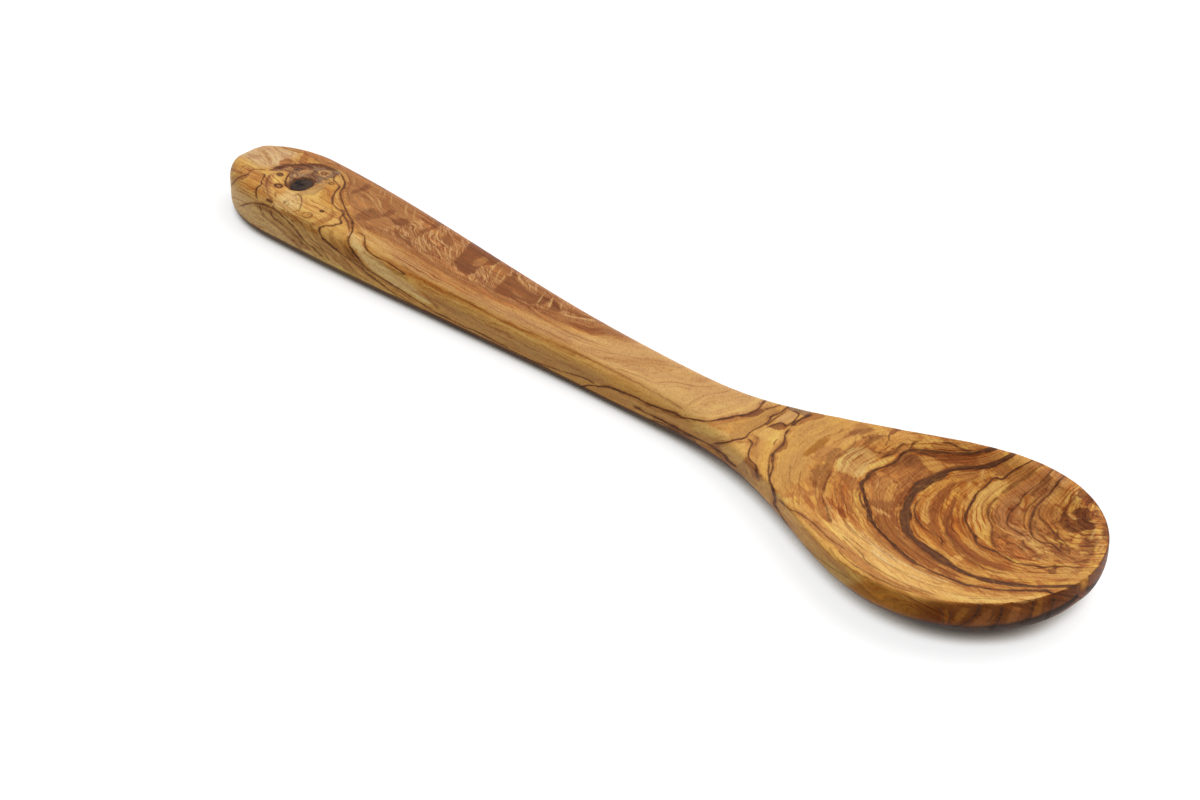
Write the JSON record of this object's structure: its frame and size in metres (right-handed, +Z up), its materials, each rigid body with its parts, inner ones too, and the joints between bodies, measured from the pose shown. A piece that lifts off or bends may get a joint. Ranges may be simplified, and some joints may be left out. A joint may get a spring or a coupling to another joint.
{
  "type": "wooden spoon",
  "caption": "Carved olive-wood cooking spoon: a flat tapering handle with rounded edges, a slim neck and a shallow oval bowl with a flat rim.",
  "frame": {"origin": "on the surface the spoon rests on, under the middle of its length and width", "axes": "+X along the length towards the bowl's tip, +Y across the spoon, +Z up out of the bowl's hollow"},
  "size_m": [0.3, 0.0674, 0.0153],
  "materials": {
    "olive_wood": "oiled satin",
    "knot_wood": "matte"
  },
  "bodies": {
    "root": {"spoon_body": "olive_wood", "dead_knot": "knot_wood"}
  },
  "joints": []
}
